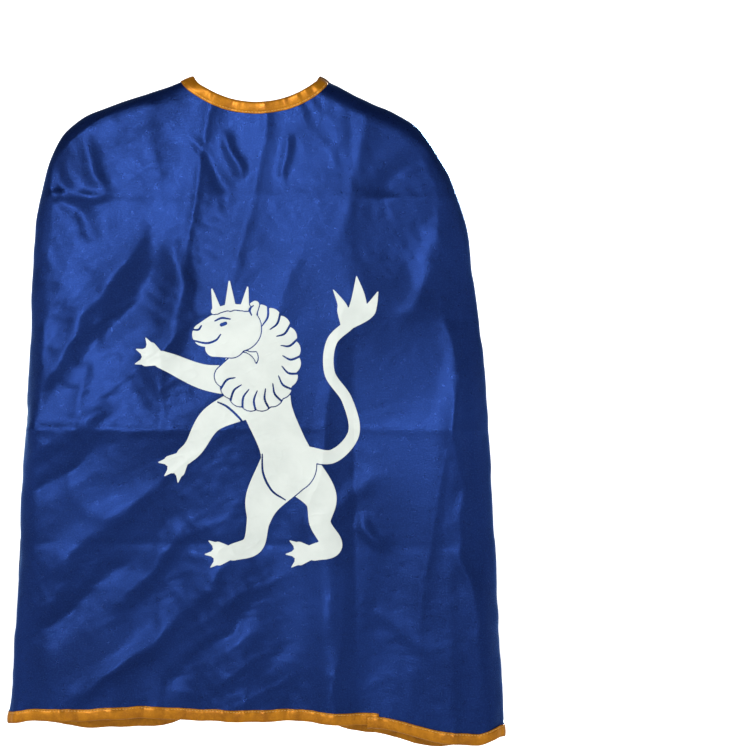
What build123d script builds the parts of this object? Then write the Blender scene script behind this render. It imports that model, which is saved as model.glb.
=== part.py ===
"""A child's knight cape in satin: a back panel, two open fronts, gold bias tape round every edge and a chest tab.

Millimetres. +X is the wearer's right, +Y the wearer's front, +Z up. The origin is the middle of the neck
opening, level with the two neck points. The cape hangs closed and nearly flat, as on a hanger: the back and
the fronts are two flat sheets that turn round a narrow rim into each other along the shoulder and side seams.
"""
from build123d import *

import math
import os

# the cape's outline, seen from the front
cape_length = 680.0  # neck point to hem
neck_half = 65.0  # neck point to the centre line
neck_drop = 27.0  # depth of the back neckline
neck_corner = 20.0  # radius of the neckline beside each neck point
shoulder_slope = 23.0  # degrees below level
shoulder_run = 95.0  # straight part of the shoulder seam
shoulder_radius = 85.0
shoulder_turn = 30.0  # degrees
arm_radius = 200.0
side_flare = 3.0  # degrees from plumb
form_depth = 36.0  # back to front, over the cloth

# the fronts
chest_half = 30.0  # front edge to the centre line at the chest tab
chest_drop = 142.0  # neck points to the middle of the tab
front_half = 25.0  # front edge to the centre line at the hem
front_corner = 95.0  # radius of each front's lower corner
fold_drop = 22.0  # neck point to where the fold line leaves the front edge
fold_half = 205.0  # fold line to the centre line at the hem
fold_gap = 2.4  # between the two parts of a front, along the fold line

# cloth, tape and thread
cloth = 0.6
tape_cloth = 0.5  # one folded side of the bias tape
tape_width = 12.0
thread = 0.25  # how proud a row of stitches stands
row_width = 0.6
row_inset = 1.5  # tape's inner edge to the row's middle
seam_width = 7.0
seam_cloth = 0.8
ease = 0.1  # between pieces that are sewn together
slack = 0.3  # between pieces that only touch

# the chest tab and its hook-and-loop patches
tab_length = 96.0
tab_width = 35.0
tab_cloth = 1.2
tab_corner = 4.0
anchor_length = 16.0
hinge_gap = 2.0  # between the tab's sewn end and its free length
patch_cloth = 0.8
patch_length = 15.0
patch_width = 25.0
patch_edge = 2.0  # tab end to hook patch

# the labels inside the back neck
label_cloth = 0.3
care_left = -11.0
care_right = 28.0
care_length = 39.0
size_left = -18.0
size_right = 27.0
size_length = 31.0

# the lion printed on the back
film = 0.2
lion_drop = 358.0  # neck points to the middle of the lion
lion_size = 1.0  # of the 306 mm tall lion that the strokes below draw
mane_middle = (0.0, 66.0)  # across and up, from the lion's middle
mane_across = 35.0  # to the middles of the mane's lobes
mane_up = 44.0
mane_root = 15.0
mane_lobe = 11.5
mane_first = 78  # degrees from the front, over the top
mane_last = 334
mane_count = 15
paw = 8.0
toe = 5.6
toe_reach = 12.0  # middle of the paw to the middle of the toe
toe_spread = 38  # degrees between toes
claw = 6.0  # past the end of the toe
claw_root = 3.2
claw_start = 3.0  # from the middle of the toe
point = 0.6  # the ends of the claws

# each stroke is a chain of beads (across, up, radius), from the lion's middle, seen from behind
lion_strokes = {
    "crown_band": [(-44, 114, 3), (-27, 118.5, 3), (-9, 117.5, 3)],
    "crown_left": [(-41, 116, 4.5), (-46, 137, 0.8)],
    "crown_middle": [(-27, 120, 5.5), (-28, 145, 0.8)],
    "crown_right": [(-12, 119, 4.5), (-9, 139, 0.8)],
    "head": [(-18, 96, 23), (-36, 94, 19), (-54, 90, 12.5)],
    "chin": [(-26, 80, 14), (-44, 76, 9)],
    "ear": [(-8, 112, 8), (-1, 121, 4)],
    "body": [(-2, 76, 30), (2, 50, 32), (12, 12, 25), (26, -22, 24), (34, -46, 28)],
    "upper_foreleg": [(-16, 42, 17), (-54, 46, 13), (-88, 60, 10), (-98, 64, 9)],
    "lower_foreleg": [(-10, 20, 17), (-46, 2, 13), (-64, -26, 10), (-74, -36, 9)],
    "near_hind_leg": [(28, -52, 27), (8, -80, 19), (2, -104, 12), (-4, -130, 11), (-24, -138, 9)],
    "far_hind_leg": [(42, -50, 24), (66, -78, 17), (66, -106, 11), (78, -130, 11), (60, -138, 9)],
    "tail": [(52, -34, 8), (80, -36, 7), (101, -12, 6), (94, 22, 6), (76, 50, 6), (78, 82, 6), (97, 101, 6)],
    "tuft": [(93, 98, 6), (104, 114, 9), (106, 128, 7), (104, 150, 0.6)],
    "tuft_outer": [(95, 100, 6), (114, 112, 7), (120, 120, 5), (126, 134, 0.6)],
    "tuft_inner": [(93, 100, 6), (90, 114, 6), (88, 122, 4), (80, 136, 0.6)],
}
# each paw is its middle (across, up) and the way it points, in degrees
lion_paws = [(-103, 66, 158), (-78, -40, 224), (-30, -139, 184), (54, -139, 184)]

half_depth = form_depth / 2
far = 400.0  # reaches past the cape in any direction
side_angle = 90.0 - side_flare
hem = -cape_length
tape_bite = tape_cloth + ease  # finished edge to cloth edge
tape_top = ease + tape_cloth  # cloth to the tape's outer face
row_near = tape_width - row_inset - row_width / 2
row_far = row_near + row_width


def heading(angle):
    """Unit vectors along an outline that runs angle degrees below level, and out of it."""
    a = math.radians(angle)
    return Vector(math.cos(a), -math.sin(a)), Vector(math.sin(a), math.cos(a))


def turned(start, radius, angle, new_angle):
    """Where an outward-curving arc that leaves start at angle ends, once it has turned to new_angle."""
    return start + (heading(new_angle)[1] - heading(angle)[1]) * radius


neck_point = Vector(neck_half, 0)
crown_radius = 0.9 * neck_half / math.sin(math.radians(shoulder_slope))
crown_end = neck_point - heading(shoulder_slope)[0] * (0.1 * neck_half / math.cos(math.radians(shoulder_slope)))
shoulder_end = neck_point + heading(shoulder_slope)[0] * shoulder_run
arm_angle = shoulder_slope + shoulder_turn
arm_start = turned(shoulder_end, shoulder_radius, shoulder_slope, arm_angle)
arm_end = turned(arm_start, arm_radius, arm_angle, side_angle)
fold_top = Vector(neck_half - (neck_half - chest_half) * fold_drop / chest_drop, -fold_drop)
fold_end = Vector(fold_half, hem)
fold_line = (fold_end - fold_top).normalized()


def flipped(p):
    return Vector(-p.X, p.Y)


def form_outline(grow, floor):
    """The form's outline, grown by an offset and closed over the neck, down to a floor."""
    out = [heading(angle)[1] * grow for angle in (shoulder_slope, arm_angle, side_angle)]
    crown_top = Vector(0, crown_end.Y + crown_radius * (1 - math.cos(math.radians(shoulder_slope))) + grow)
    shoulder_mid = (shoulder_slope + arm_angle) / 2
    arm_mid = (arm_angle + side_angle) / 2
    a = crown_end + out[0]
    b = shoulder_end + out[0]
    c = arm_start + out[1]
    d = arm_end + out[2]
    bc = turned(shoulder_end, shoulder_radius, shoulder_slope, shoulder_mid) + heading(shoulder_mid)[1] * grow
    cd = turned(arm_start, arm_radius, arm_angle, arm_mid) + heading(arm_mid)[1] * grow
    down = heading(side_angle)[0]
    foot = d + down * ((d.Y - floor) / -down.Y)
    f = flipped
    return make_face(
        [
            ThreePointArc(f(a), crown_top, a),
            Line(a, b),
            ThreePointArc(b, bc, c),
            ThreePointArc(c, cd, d),
            Line(d, foot),
            Line(foot, f(foot)),
            Line(f(foot), f(d)),
            ThreePointArc(f(d), f(cd), f(c)),
            ThreePointArc(f(c), f(bc), f(b)),
            Line(f(b), f(a)),
        ]
    )


def form(grow):
    """The solid that the cape is wrapped round, grown by an offset, its long edges rounded into a rim."""
    depth = half_depth + grow
    floor = hem - 30 + 2 * grow
    body = extrude(Plane.XZ * form_outline(grow, floor), amount=depth, both=True)
    rim = [
        edge
        for edge in body.edges()
        if abs(abs(edge.center().Y) - depth) < 1e-4 and edge.center().Z > floor + 1
    ]
    return fillet(rim, depth - 0.05)


forms = {}


def layer(outer, inner):
    """The skin between two offsets of the form."""
    for grow in (outer, inner):
        key = round(grow, 4)
        if key not in forms:
            forms[key] = form(grow)
    return forms[round(outer, 4)] - forms[round(inner, 4)]


def backward(face):
    """A region seen from the front, carried from the seam's plane through the back."""
    return extrude(Plane.XZ * face, amount=far)


def forward(face):
    """A region seen from the front, carried from the seam's plane through the fronts."""
    return extrude(Plane.XZ * face, amount=-far)


def polygon(*points):
    return make_face(Polyline(*points, close=True))


def neck_hole(grow):
    """The back neckline: a shallow arc that turns up to meet the shoulder seams square, grown by an offset."""
    along, out = heading(shoulder_slope)
    corner = neck_point - along * neck_corner
    rise = corner.Y + neck_drop
    sweep = (corner.X**2 + rise**2 - neck_corner**2) / (2 * (rise - neck_corner))
    centre = Vector(0, sweep - neck_drop)
    towards = (corner - centre).normalized()
    radius = neck_corner + grow
    start = corner + along * radius
    join = corner + towards * radius
    middle = corner + (along + towards).normalized() * radius
    bottom = Vector(0, -neck_drop - grow)
    above = start + out * 60
    f = flipped
    return make_face(
        [
            Line(above, start),
            ThreePointArc(start, middle, join),
            ThreePointArc(join, bottom, f(join)),
            ThreePointArc(f(join), f(middle), f(start)),
            Line(f(start), f(above)),
            Line(f(above), above),
        ]
    )


def hung(inset):
    """Everything above the hem, less an inset."""
    return polygon((-far, hem + inset), (far, hem + inset), (far, far), (-far, far))


def back_region(inset):
    return hung(inset) - neck_hole(inset)


def front_region(inset):
    """The right front's outline: down from the neck point, past the tab, round the lower corner, out along the hem."""
    chest = Vector(chest_half, -chest_drop)
    top = neck_point + (neck_point - chest).normalized() * 60
    foot = Vector(front_half, hem)
    to_chest = (chest - top).normalized()
    to_foot = (foot - chest).normalized()
    half_turn = math.radians(to_foot.get_angle(Vector(0, -1)) + 90) / 2
    reach = front_corner / math.tan(math.pi / 2 - half_turn)
    bend_start = foot - to_foot * reach
    bend_end = foot + Vector(reach, 0)
    centre = bend_end + Vector(0, front_corner)
    bend_mid = centre + (foot - centre).normalized() * front_corner
    inner = [Vector(-v.Y, v.X) for v in (to_chest, to_foot)]
    miter = (inner[0] + inner[1]).normalized()
    miter = miter / miter.dot(inner[0])
    p = [
        top + inner[0] * inset,
        chest + miter * inset,
        bend_start + inner[1] * inset,
        bend_mid + (centre - bend_mid).normalized() * inset,
        bend_end + Vector(0, inset),
        Vector(far, hem + inset),
    ]
    return make_face(
        [
            Line(p[0], p[1]),
            Line(p[1], p[2]),
            ThreePointArc(p[2], p[3], p[4]),
            Line(p[4], p[5]),
            Line(p[5], Vector(far, far)),
            Line(Vector(far, far), Vector(p[0].X, far)),
            Line(Vector(p[0].X, far), p[0]),
        ]
    )


def fold_side(outside):
    """The part of the front that stays with the back, outside the fold line, or the part that swings."""
    out = Vector(-fold_line.Y, fold_line.X)
    shift = out * (fold_gap / 2 if outside else -fold_gap / 2)
    a = fold_top - fold_line * far + shift
    b = fold_end + fold_line * far + shift
    reach = out * (4 * far if outside else -4 * far)
    return polygon(a, b, b + reach, a + reach)


def mane_strokes():
    """The ring of round lobes, each joined to a root nearer the mane's middle."""
    strokes = []
    for k in range(mane_count):
        angle = math.radians(mane_first + (mane_last - mane_first) * k / (mane_count - 1))
        across, up = -mane_across * math.cos(angle), mane_up * math.sin(angle)
        root = (mane_middle[0] + across / 2, mane_middle[1] + up / 2, mane_root)
        strokes.append([root, (mane_middle[0] + across, mane_middle[1] + up, mane_lobe)])
    return strokes


def paw_strokes(across, up, pointing):
    """Three toes spread from the paw's middle, each with a claw."""
    strokes = []
    for turn in (-toe_spread, 0, toe_spread):
        way = math.cos(math.radians(pointing + turn)), math.sin(math.radians(pointing + turn))

        def bead(distance, radius):
            return across + way[0] * distance, up + way[1] * distance, radius

        strokes.append([bead(0, paw), bead(toe_reach, toe)])
        strokes.append([bead(toe_reach + claw_start, claw_root), bead(toe_reach + toe + claw, point)])
    return strokes


def lion():
    """The printed lion's film: each bead of a stroke wrapped to the next one, and all of them joined."""
    strokes = list(lion_strokes.values()) + mane_strokes()
    for across, up, pointing in lion_paws:
        strokes += paw_strokes(across, up, pointing)
    links = []
    for beads in strokes:
        discs = [
            Pos(across * lion_size, up * lion_size - lion_drop) * Circle(radius * lion_size)
            for across, up, radius in beads
        ]
        for disc, next_disc in zip(discs, discs[1:]):
            link = make_hull([disc.edge(), next_disc.edge()])
            links.append(plate(link, -half_depth - film, -half_depth))
    return links[0] + links[1:]


def tab_outline(inset):
    """The whole chest tab, its sewn end included, less an inset all round."""
    shape = RectangleRounded(tab_length - 2 * inset, tab_width - 2 * inset, tab_corner - inset)
    return Pos(0, -chest_drop) * shape


def upright(left, right, low, high):
    return polygon((left, low), (right, low), (right, high), (left, high))


def plate(face, near, ahead):
    """A region seen from the front, as a flat piece between two distances ahead of the seams' plane."""
    return Pos(0, near, 0) * extrude(Plane.XZ * face, amount=near - ahead)


def both_sides(name, right_piece):
    """The wearer's right piece, and its mirror image for the left."""
    nodes["right_" + name] = right_piece
    nodes["left_" + name] = mirror(right_piece, about=Plane.YZ)


def with_mirror(piece):
    return piece + mirror(piece, about=Plane.YZ)


nodes = {}

# skins that the cloth, the tape and its two rows of stitches are cut from
satin = layer(0, -cloth)
tape_skin = layer(tape_top, -cloth - tape_top)
tape_slot = layer(ease, -cloth - ease)
row_skin = layer(tape_top + thread, tape_top) + layer(-cloth - tape_top, -cloth - tape_top - thread)
swinging = forward(fold_side(False))
fixed = forward(fold_side(True))
above_waist = forward(hung(cape_length / 2))
below_waist = forward(hung(0) - hung(cape_length / 2))

# satin panels
nodes["back_panel"] = satin & backward(back_region(tape_bite))
front_cloth = satin & forward(front_region(tape_bite))
both_sides("front_side", front_cloth & fixed)
both_sides("front_panel", front_cloth & swinging)

# bias tape: round each front's edge, lower corner and swinging hem, round the neck, and round the rest of the hem
front_band = forward(front_region(0) - front_region(tape_width))
front_tape = (tape_skin & front_band) - (tape_slot & forward(front_region(tape_cloth)))
front_row = row_skin & forward(front_region(row_near) - front_region(row_far))
back_slot = tape_slot & backward(back_region(tape_cloth))
both_sides("front_binding", front_tape & swinging)
both_sides("front_stitching", front_row & swinging)

neck_tape = (tape_skin & backward(neck_hole(tape_width) - neck_hole(0))) - back_slot
neck_row = row_skin & backward(neck_hole(row_far) - neck_hole(row_near))
nodes["neck_binding"] = neck_tape + with_mirror(front_tape & fixed & above_waist)
nodes["neck_stitching"] = neck_row + with_mirror(front_row & fixed & above_waist)

hem_tape = (tape_skin & backward(hung(0) - hung(tape_width))) - back_slot
hem_row = row_skin & backward(hung(row_near) - hung(row_far))
nodes["hem_binding"] = hem_tape + with_mirror(front_tape & fixed & below_waist)
nodes["hem_stitching"] = hem_row + with_mirror(front_row & fixed & below_waist)

# overlocked seam allowances, standing inside the shoulder and side seams
seam_top = -cloth - ease
seam_floor = hem - 30
allowance = form_outline(seam_top, seam_floor) - form_outline(seam_top - seam_width, seam_floor)
seam_strip = extrude(Plane.XZ * allowance, amount=seam_cloth / 2, both=True)
beyond_neck = neck_half + tape_width + slack
above_hem = hem + tape_width + slack
seam_place = plate(upright(beyond_neck, far, above_hem, far), -seam_cloth, seam_cloth)
both_sides("side_seam", seam_strip & seam_place)

# chest tab: one end sewn over the left front's tape, the free length reaching over the right front's tape
seat = half_depth + tape_top + thread + ease
loop_face = seat + patch_cloth
tab_back = loop_face + slack + patch_cloth
tab_face = tab_back + tab_cloth
tab_end = tab_length / 2
crease = -tab_end + anchor_length
hinge_ahead = tab_face + thread
tab_high = -chest_drop + tab_width
tab_low = -chest_drop - tab_width
sewn_end = upright(-tab_end, crease, tab_low, tab_high)
free_length = upright(crease + hinge_gap, tab_end, tab_low, tab_high)
tab_row = tab_outline(row_inset) - tab_outline(row_inset + row_width)
nodes["tab_anchor"] = plate(tab_outline(0) & sewn_end, seat, tab_face)
nodes["tab_anchor_stitching"] = plate(tab_row & sewn_end, tab_face, tab_face + thread)
nodes["chest_tab"] = plate(tab_outline(0) & free_length, tab_back, tab_face)
nodes["chest_tab_stitching"] = plate(tab_row & free_length, tab_face, tab_face + thread)
patch_right = tab_end - patch_edge
patch_low = -chest_drop - patch_width / 2
patch = upright(patch_right - patch_length, patch_right, patch_low, patch_low + patch_width)
nodes["hook_patch"] = plate(patch, tab_back - patch_cloth, tab_back)
nodes["loop_patch"] = plate(patch, seat, loop_face)

# labels hanging inside the back neck from the tape's lower edge
label_top = -neck_drop - tape_width - hinge_gap / 2
care_back = -half_depth + cloth + slack
size_back = care_back + label_cloth + ease
care = upright(care_left, care_right, label_top - care_length, label_top)
size = upright(size_left, size_right, label_top - size_length, label_top)
nodes["care_label"] = plate(care, care_back, care_back + label_cloth)
nodes["size_label"] = plate(size, size_back, size_back + label_cloth)

# the lion, a film on the back panel's outer face
nodes["lion_print"] = lion()

os.makedirs("parts", exist_ok=True)
for name, piece in nodes.items():
    export_step(piece, "parts/" + name + ".step")

upward = -fold_line
print("left fold line passes", (-fold_top.X, half_depth - cloth / 2, fold_top.Y), "along", (-upward.X, 0, upward.Y))
print("tab crease at", (crease + hinge_gap / 2, hinge_ahead, -chest_drop))
print("label hinge at", (0, size_back + label_cloth, label_top + hinge_gap / 4))
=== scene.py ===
import bpy
import bmesh
import math

import numpy as np
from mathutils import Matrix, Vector


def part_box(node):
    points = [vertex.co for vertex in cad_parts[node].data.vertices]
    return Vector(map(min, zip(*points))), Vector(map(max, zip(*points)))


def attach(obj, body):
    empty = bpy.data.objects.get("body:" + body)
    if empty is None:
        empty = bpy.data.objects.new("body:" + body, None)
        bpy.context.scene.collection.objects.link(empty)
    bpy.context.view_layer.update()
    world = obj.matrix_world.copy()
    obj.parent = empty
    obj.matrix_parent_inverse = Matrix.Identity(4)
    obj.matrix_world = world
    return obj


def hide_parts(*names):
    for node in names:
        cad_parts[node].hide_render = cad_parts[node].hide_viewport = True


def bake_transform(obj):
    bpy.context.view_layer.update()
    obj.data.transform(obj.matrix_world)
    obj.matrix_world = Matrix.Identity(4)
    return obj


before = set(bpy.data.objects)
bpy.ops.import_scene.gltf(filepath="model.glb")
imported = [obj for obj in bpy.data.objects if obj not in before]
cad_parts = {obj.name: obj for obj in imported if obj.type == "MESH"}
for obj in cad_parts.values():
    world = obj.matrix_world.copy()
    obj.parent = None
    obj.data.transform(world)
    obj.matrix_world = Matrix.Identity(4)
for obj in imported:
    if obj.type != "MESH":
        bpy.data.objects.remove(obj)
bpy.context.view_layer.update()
print("frame loaded, nodes:", len(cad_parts))

# ---------------------------------------------------------------- the pattern, in millimetres

backLow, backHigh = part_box("back_panel")
hemLow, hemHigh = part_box("hem_binding")
tabLow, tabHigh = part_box("chest_tab")
anchorLow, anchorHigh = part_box("tab_anchor")
lionLow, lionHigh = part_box("lion_print")

# the flat cut of the cape: the same outline that the frame has
cape = {
    "neckHalf": 65.0,
    "neckDrop": 27.0,
    "neckCorner": 20.0,
    "shoulderSlope": 23.0,
    "shoulderRun": 95.0,
    "shoulderRadius": 85.0,
    "shoulderTurn": 30.0,
    "armRadius": 200.0,
    "sideFlare": 3.0,
    "rim": -backLow.y * 1000,  # radius that the cloth turns with, from back to front
    "hem": hemLow.z * 1000,
    "chestHalf": 30.0,
    "chestDrop": -(tabLow.z + tabHigh.z) * 500,
    "frontHalf": 25.0,
    "frontCorner": 95.0,
    "foldDrop": 22.0,
    "foldHalf": 205.0,
    "cloth": 0.6,
}


def unit(v):
    return v / np.linalg.norm(v, axis=-1, keepdims=True)


def heading(angle):
    """The way an outline runs at an angle below level, and the way out of it."""
    a = math.radians(angle)
    return np.array([math.cos(a), -math.sin(a)]), np.array([math.sin(a), math.cos(a)])


def makeOutline():
    # a list of round and straight stretches from the crown to the hem: each arc has its centre and
    # radius, each line its start, and both the angles or length that they cover
    slope, turn, side = cape["shoulderSlope"], cape["shoulderTurn"], 90 - cape["sideFlare"]
    along, out = heading(slope)
    neckPoint = np.array([cape["neckHalf"], 0.0])
    crownRadius = 0.9 * cape["neckHalf"] / math.sin(math.radians(slope))
    crownEnd = neckPoint - along * 0.1 * cape["neckHalf"] / math.cos(math.radians(slope))
    shoulderEnd = neckPoint + along * cape["shoulderRun"]
    shoulderCentre = shoulderEnd - out * cape["shoulderRadius"]
    armStart = shoulderCentre + heading(slope + turn)[1] * cape["shoulderRadius"]
    armCentre = armStart - heading(slope + turn)[1] * cape["armRadius"]
    armEnd = armCentre + heading(side)[1] * cape["armRadius"]
    return [
        ("arc", crownEnd - out * crownRadius, crownRadius, 0, slope),
        ("line", crownEnd, np.linalg.norm(shoulderEnd - crownEnd), slope),
        ("arc", shoulderCentre, cape["shoulderRadius"], slope, slope + turn),
        ("arc", armCentre, cape["armRadius"], slope + turn, side),
        ("line", armEnd, 2000.0, side),
    ]


outline = makeOutline()
rim = cape["rim"]
quarter = rim * math.pi / 2  # cloth that goes round half of the rim, from flat to seam
unrolled = quarter - rim  # how far the flat cut reaches past the outline


def pastFlat(x, z):
    """How far a point of the flat cut lies past the edge of its flat part, and the way out from there.

    The distance to an arc is the distance to its centre less its radius, and to a line it is the
    distance along the line's normal. Each stretch answers for the points in its own sector.
    """
    best = np.full(np.shape(x), -1e6)
    nx = np.zeros(np.shape(x))
    nz = np.ones(np.shape(x))
    mirror = np.where(x < 0, -1.0, 1.0)
    ax = np.abs(x)
    for stretch in outline:
        if stretch[0] == "arc":
            _, centre, radius, low, high = stretch
            dx, dz = ax - centre[0], z - centre[1]
            length = np.maximum(np.hypot(dx, dz), 1e-6)
            angle = np.degrees(np.arctan2(dx, dz))
            distance = length - (radius - rim)
            valid = (angle >= low - 1e-6) & (angle <= high + 1e-6)
            ox, oz = dx / length, dz / length
        else:
            _, start, length, slope = stretch
            along, out = heading(slope)
            start = start - out * rim
            t = (ax - start[0]) * along[0] + (z - start[1]) * along[1]
            distance = (ax - start[0]) * out[0] + (z - start[1]) * out[1]
            valid = (t >= -1e-6) & (t <= length)
            ox, oz = out[0], out[1]
        better = valid & (distance > best)
        best = np.where(better, distance, best)
        nx = np.where(better, ox * mirror, nx)
        nz = np.where(better, oz, nz)
    return best, nx, nz


def wrap(x, z, side, height=0.0):
    """Carries the flat cut on to the hanging cape: flat in the middle, a quarter turn round the rim.

    Past the flat part by d, the cloth has turned by d / rim. Height lifts a point along the surface's normal.
    side is -1 on the back and 1 on the front.
    """
    x, z, height = np.broadcast_arrays(np.asarray(x, float), np.asarray(z, float), np.asarray(height, float))
    past, nx, nz = pastFlat(x, z)
    past = np.maximum(past, 0)
    turn = np.minimum(past / rim, math.pi / 2)
    reach = (rim + height) * np.sin(turn)
    deep = (rim + height) * np.cos(turn)
    return np.stack([x - nx * past + nx * reach, side * deep, z - nz * past + nz * reach], axis=-1)


def runEvenly(points, count):
    """The same curve with its points at equal steps along its length."""
    points = np.asarray(points, float)
    lengths = np.concatenate([[0], np.cumsum(np.linalg.norm(np.diff(points, axis=0), axis=1))])
    steps = np.linspace(0, lengths[-1], count)
    return np.stack([np.interp(steps, lengths, points[:, k]) for k in range(points.shape[1])], axis=1)


def arcPoints(centre, radius, low, high, count=24):
    a = np.radians(np.linspace(low, high, count))
    return np.stack([centre[0] + radius * np.sin(a), centre[1] + radius * np.cos(a)], axis=1)


def flipped(points):
    return points * np.array([-1.0, 1.0])


def shoulderCurve():
    """The flat cut's edge from the neck point over the shoulder to the arm, on the wearer's right."""
    out = heading(cape["shoulderSlope"])[1]
    start = np.array([cape["neckHalf"], 0.0]) + out * unrolled
    shoulder = outline[2]
    arm = outline[3]
    return np.concatenate(
        [
            [start],
            arcPoints(shoulder[1], shoulder[2] + unrolled, shoulder[3], shoulder[4]),
            arcPoints(arm[1], arm[2] + unrolled, arm[3], arm[4])[1:],
        ]
    )


def sideCurve(bottom):
    """On down the side seam to the hem."""
    along, out = heading(90 - cape["sideFlare"])
    top = outline[4][1] + out * unrolled
    return np.array([top, top + along * (top[1] - bottom) / -along[1]])


def necklineCurve(grow=0.0):
    """From the left neck point round the back to the right: a shallow arc that turns up at each end."""
    along, out = heading(cape["shoulderSlope"])
    corner = np.array([cape["neckHalf"], 0.0]) - along * cape["neckCorner"]
    rise = corner[1] + cape["neckDrop"]
    sweep = (corner[0] ** 2 + rise**2 - cape["neckCorner"] ** 2) / (2 * (rise - cape["neckCorner"]))
    centre = np.array([0.0, sweep - cape["neckDrop"]])
    way = unit(corner - centre)
    join = math.degrees(math.atan2(way[0], way[1]))
    top = np.array([[cape["neckHalf"], 0.0]]) + out * unrolled + along * grow
    bend = arcPoints(corner, cape["neckCorner"] + grow, 90 + cape["shoulderSlope"], join)
    bottom = arcPoints(centre, sweep + grow, join, 180)[1:]
    half = np.concatenate([top, bend, bottom])
    return np.concatenate([flipped(half), half[::-1][1:]])


def frontEdgeCurve():
    """Down the right front: neck point, chest, the start of the lower corner, round it and out along the hem."""
    neck = shoulderCurve()[0]
    chest = np.array([cape["chestHalf"], -cape["chestDrop"]])
    foot = np.array([cape["frontHalf"], cape["hem"]])
    way = unit(foot - chest)
    halfTurn = (math.pi / 2 - math.asin(way[0])) / 2
    reach = cape["frontCorner"] / math.tan(math.pi / 2 - halfTurn)
    start = foot - way * reach
    end = foot + np.array([reach, 0.0])
    centre = end + np.array([0.0, cape["frontCorner"]])
    first = math.degrees(math.atan2(start[0] - centre[0], start[1] - centre[1]))
    corner = arcPoints(centre, cape["frontCorner"], first, -180)
    side = sideCurve(cape["hem"])[-1]
    return {
        "edge": np.array([neck, [cape["neckHalf"], 0.0], chest, start]),
        "corner": corner,
        "hem": np.array([end, side]),
    }


# ---------------------------------------------------------------- creases, folds and puckers

# what the cloth has been through: press folds from its packet, soft diagonal folds, and a fine crumple
folds = {
    "acrossBack": [(-99, 1.5), (102, -1.3), (200, 1.1)],
    "downBack": [(-125, 1.0), (-253, -0.9), (-367, 3.0), (-486, -1.1)],
    "acrossFront": [(-190, 1.2), (-82, -1.2), (88, 1.3), (196, -1.1)],
    "downFront": [(-130, -0.9), (-250, 1.2), (-367, -1.6), (-490, 1.0)],
    # soft folds laid on the flat cut: from (x, z) to (x, z), how high, and how wide
    "laidBack": [
        (-226, -322, -118, -168, 5.0, 17), (-176, -300, -96, -190, -4.5, 20), (-112, -330, -78, -172, 4.0, 15),
        (-206, -118, -150, -128, 2.2, 6), (-196, -70, -170, -170, -3.0, 13), (-160, -60, -148, -120, 2.4, 10),
        (-236, -392, -150, -352, 3.0, 11), (-230, -430, -160, -384, -2.8, 11), (-214, -520, -118, -430, 3.6, 16),
        (-238, -600, -128, -498, -3.4, 18), (-150, -560, -66, -462, 3.4, 14), (-118, -612, -40, -520, 3.6, 15),
        (-92, -646, -6, -560, -3.0, 14), (-190, -664, -96, -592, 3.2, 13), (12, -640, 84, -548, 1.3, 16),
        (60, -470, 128, -420, 1.4, 12), (112, -455, 140, -490, 2.2, 8), (126, -560, 196, -600, 1.0, 13),
        (150, -250, 214, -150, 2.4, 18), (122, -120, 190, -72, -2.2, 14), (-36, -66, -20, -112, 2.4, 7),
        (36, -60, 28, -104, 1.8, 6), (-70, -60, -30, -140, -1.8, 9), (206, -330, 222, -640, 2.6, 12),
    ],
    "laidFront": [
        (-214, -300, -120, -180, 4.0, 18), (-180, -420, -84, -300, -3.4, 18), (-150, -560, -70, -430, 3.6, 16),
        (-222, -560, -160, -470, -3.0, 16), (-92, -220, -50, -170, 2.8, 9), (-86, -262, -46, -232, -2.4, 9),
        (-84, -330, -44, -300, 2.6, 9), (-80, -396, -42, -372, -2.2, 8), (-96, -480, -44, -440, 2.8, 10),
        (214, -300, 120, -180, 3.8, 18), (180, -420, 84, -300, -3.2, 18), (150, -560, 70, -430, 3.4, 16),
        (222, -560, 160, -470, -3.0, 16), (92, -214, 50, -178, 2.8, 9), (86, -270, 46, -240, -2.4, 9),
        (84, -322, 44, -306, 2.6, 9), (80, -404, 42, -380, -2.2, 8), (96, -488, 44, -452, 2.8, 10),
        (120, -640, 200, -600, 2.6, 12), (-120, -640, -200, -600, 2.6, 12),
    ],
    "awayPast": 196.0,  # past this the right of the back falls away
    "pressWidth": 6.0,
    "tilt": 5.0,
    "softHeight": 3.2,
    "crumple": 0.30,
    "flute": 3.2,
}


def latticeNoise(x, z, size, seed):
    """Random numbers on a square lattice, blended between neighbours with a smooth step; from -1 to 1."""
    table = np.random.default_rng(seed).uniform(-1, 1, (96, 96))
    u, v = np.asarray(x) / size + 48.3, np.asarray(z) / size + 48.7
    i, j = np.floor(u).astype(int), np.floor(v).astype(int)
    fu, fv = u - i, v - j
    fu = fu * fu * fu * (fu * (fu * 6 - 15) + 10)
    fv = fv * fv * fv * (fv * (fv * 6 - 15) + 10)

    def at(a, b):
        return table[a % 96, b % 96]

    low = at(i, j) * (1 - fu) + at(i + 1, j) * fu
    high = at(i, j + 1) * (1 - fu) + at(i + 1, j + 1) * fu
    return low * (1 - fv) + high * fv


def turned(x, z, degrees):
    a = math.radians(degrees)
    return x * math.cos(a) + z * math.sin(a), -x * math.sin(a) + z * math.cos(a)


def smooth(t):
    t = np.clip(t, 0, 1)
    return t * t * (3 - 2 * t)


def softFolds(x, z, degrees, width, length, seed):
    """Long soft ridges: lattice noise stretched along one direction, folded at zero into crests."""
    along, across = turned(x, z, degrees)
    across = across + 10 * latticeNoise(x, z, 70, seed + 50)
    n = latticeNoise(along * width / length, across, width, seed)
    crest = 1 - np.abs(n) * 2
    return np.sign(crest) * np.abs(crest) ** 1.5


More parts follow.
